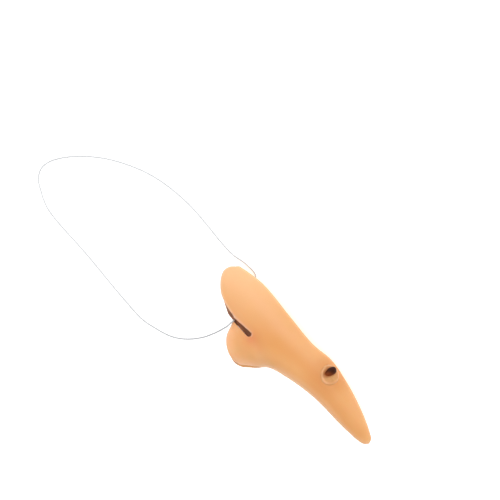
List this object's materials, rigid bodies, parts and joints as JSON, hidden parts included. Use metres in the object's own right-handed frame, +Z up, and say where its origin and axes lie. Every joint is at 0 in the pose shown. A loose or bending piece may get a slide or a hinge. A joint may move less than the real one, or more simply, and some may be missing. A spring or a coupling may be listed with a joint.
{
  "type": "halloween fake nose",
  "caption": "Long pointed false nose in hollow soft vinyl with a wart on one side, open at the face, worn on a loop of thin round elastic held in a slit behind each nostril wing.",
  "frame": {"origin": "on the table that the nose lies on, under the middle of the nose's own box, without its elastic", "axes": "+X along the lying nose towards its tip, +Z up from the table, the wart on the +Y side"},
  "size_m": [0.2172, 0.0926, 0.042],
  "materials": {
    "flesh_vinyl": "soft satin vinyl",
    "wart_vinyl": "soft satin vinyl",
    "dark_gloss": "glossy paint",
    "white_elastic": "matte covered elastic"
  },
  "bodies": {
    "root": {"nose_shell": "flesh_vinyl", "wart": "wart_vinyl", "wart_tip": "dark_gloss", "elastic_knot_right": "white_elastic", "elastic_knot_left": "white_elastic", "elastic_cord": "white_elastic"}
  },
  "joints": []
}
